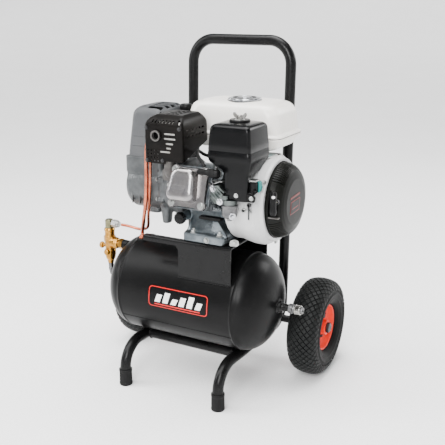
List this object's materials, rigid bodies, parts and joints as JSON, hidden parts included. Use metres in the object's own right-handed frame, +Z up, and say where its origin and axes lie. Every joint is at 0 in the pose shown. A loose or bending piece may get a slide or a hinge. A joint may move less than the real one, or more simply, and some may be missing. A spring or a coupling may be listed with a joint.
{
  "type": "wheelbarrow air compressor",
  "caption": "Petrol-engine piston air compressor on a horizontal tank, with a bent-tube hand frame, front feet and rear pneumatic wheels.",
  "frame": {"origin": "centre of the footprint on the floor, under the middle of the bounding box", "axes": "+X to the right along the crank axis and the tank, +Y to the rear towards the handle, +Z up"},
  "size_m": [0.627, 0.4854, 0.8788],
  "materials": {
    "frame_paint": "satin",
    "tank_paint": "satin",
    "foot_rubber": "matte",
    "tyre": "matte",
    "rim_red": "gloss",
    "zinc": "satin",
    "steel": "satin",
    "chrome": "polished",
    "brass": "satin",
    "copper": "satin",
    "aluminium": "satin",
    "pump_casting": "satin",
    "gasket": "matte",
    "muffler_black": "satin",
    "white_paint": "gloss",
    "gloss_black": "gloss",
    "switch_red": "gloss",
    "filter_foam": "matte"
  },
  "bodies": {
    "compressor": {"frame_tube": "frame_paint", "front_crossbar": "frame_paint", "axle_saddle_left": "frame_paint", "axle_saddle_right": "frame_paint", "saddle_plate": "frame_paint", "outlet_nipple": "frame_paint", "tank_shell": "tank_paint", "foot_cap_left": "foot_rubber", "foot_cap_right": "foot_rubber", "spark_plug_cap": "foot_rubber", "ignition_lead": "foot_rubber", "wheel_nut_left": "zinc", "wheel_nut_right": "zinc", "coupler_body": "zinc", "carburettor": "zinc", "float_bowl": "zinc", "pilot_elbow": "zinc", "relief_spout": "zinc", "axle": "steel", "spark_plug": "steel", "drain_valve": "brass", "pilot_valve_body": "brass", "delivery_pipe": "copper", "pilot_pipe": "copper", "crankcase": "aluminium", "cylinder_head": "aluminium", "valve_cover": "aluminium", "pump_crankcase": "pump_casting", "pump_head": "pump_casting", "pump_shroud": "pump_casting", "cover_gasket": "gasket", "muffler_body": "muffler_black", "muffler_guard": "muffler_black", "fuel_tank_lower": "white_paint", "fuel_tank_upper": "white_paint", "fan_cover": "white_paint", "air_cleaner_base": "gloss_black", "air_cleaner_cover": "gloss_black", "recoil_housing": "gloss_black", "engine_switch_box": "gloss_black", "intake_filter": "gloss_black", "air_cleaner_element": "filter_foam"},
    "wheel_left": {"tyre_left": "tyre", "rim_left": "rim_red"},
    "wheel_right": {"tyre_right": "tyre", "rim_right": "rim_red"},
    "crank": {"crankshaft": "steel", "flywheel_fan": "aluminium"},
    "piston_body": {"piston": "aluminium"},
    "starter": {"starter_grip": "gloss_black"},
    "fuel_cap_body": {"fuel_cap": "chrome"},
    "cleaner_nut": {"wing_nut": "chrome"},
    "choke": {"choke_lever": "zinc"},
    "fuel_valve": {"fuel_valve_lever": "zinc"},
    "throttle": {"throttle_lever": "zinc"},
    "engine_switch": {"engine_switch_knob": "switch_red"},
    "oil_cap": {"oil_filler_cap": "gloss_black"},
    "coupler": {"coupler_sleeve": "chrome"},
    "drain": {"drain_knob": "brass"},
    "unloader": {"unloader_knob": "brass"}
  },
  "joints": [
    {"name": "wheel_left_spin", "type": "hinge", "parent": "compressor", "child": "wheel_left", "pos_m": [-0.271, 0.1127, 0.13], "axis": [1, 0, 0], "continuous": true},
    {"name": "wheel_right_spin", "type": "hinge", "parent": "compressor", "child": "wheel_right", "pos_m": [0.271, 0.1127, 0.13], "axis": [1, 0, 0], "continuous": true},
    {"name": "crank_spin", "type": "hinge", "parent": "compressor", "child": "crank", "pos_m": [0, -0.05729, 0.512], "axis": [1, 0, 0], "continuous": true},
    {"name": "piston_stroke", "type": "slide", "parent": "compressor", "child": "piston_body", "axis": [0, 0.9613, -0.2756], "range_m": [0, 0.045]},
    {"name": "starter_pull", "type": "slide", "parent": "compressor", "child": "starter", "axis": [0, -1, 0], "range_m": [0, 0.5], "stiffness_N_per_m": 20, "springref_m": -0.2},
    {"name": "fuel_cap_turn", "type": "hinge", "parent": "compressor", "child": "fuel_cap_body", "pos_m": [0.102, 0.0087, 0.734], "axis": [0, 0, 1], "range_deg": [0, 90]},
    {"name": "wing_nut_turn", "type": "hinge", "parent": "compressor", "child": "cleaner_nut", "pos_m": [0.16, -0.13129, 0.712], "axis": [0, 0, 1], "continuous": true},
    {"name": "choke_swing", "type": "hinge", "parent": "compressor", "child": "choke", "pos_m": [0.208, -0.1783, 0.524], "axis": [0, 1, 0], "range_deg": [0, 45]},
    {"name": "fuel_valve_turn", "type": "hinge", "parent": "compressor", "child": "fuel_valve", "pos_m": [0.191, -0.1723, 0.508], "axis": [0, 1, 0], "range_deg": [0, 60]},
    {"name": "throttle_turn", "type": "hinge", "parent": "compressor", "child": "throttle", "pos_m": [0.08, -0.04729, 0.603], "axis": [0, 0, 1], "range_deg": [-35, 0]},
    {"name": "engine_switch_turn", "type": "hinge", "parent": "compressor", "child": "engine_switch", "pos_m": [0.2215, -0.18629, 0.556], "axis": [0, 1, 0], "range_deg": [0, 60]},
    {"name": "oil_cap_turn", "type": "hinge", "parent": "compressor", "child": "oil_cap", "pos_m": [0.017, -0.16329, 0.464], "axis": [0, 1, 0], "continuous": true},
    {"name": "coupler_sleeve_slide", "type": "slide", "parent": "compressor", "child": "coupler", "axis": [-1, 0, 0], "range_m": [0, 0.004], "stiffness_N_per_m": 800, "springref_m": -0.002},
    {"name": "drain_turn", "type": "hinge", "parent": "compressor", "child": "drain", "pos_m": [0, -0.0433, 0.098], "axis": [0, 0, 1], "range_deg": [0, 360]},
    {"name": "unloader_pull", "type": "slide", "parent": "compressor", "child": "unloader", "axis": [-1, 0, 0], "range_m": [0, 0.003], "stiffness_N_per_m": 800, "springref_m": -0.002}
  ]
}
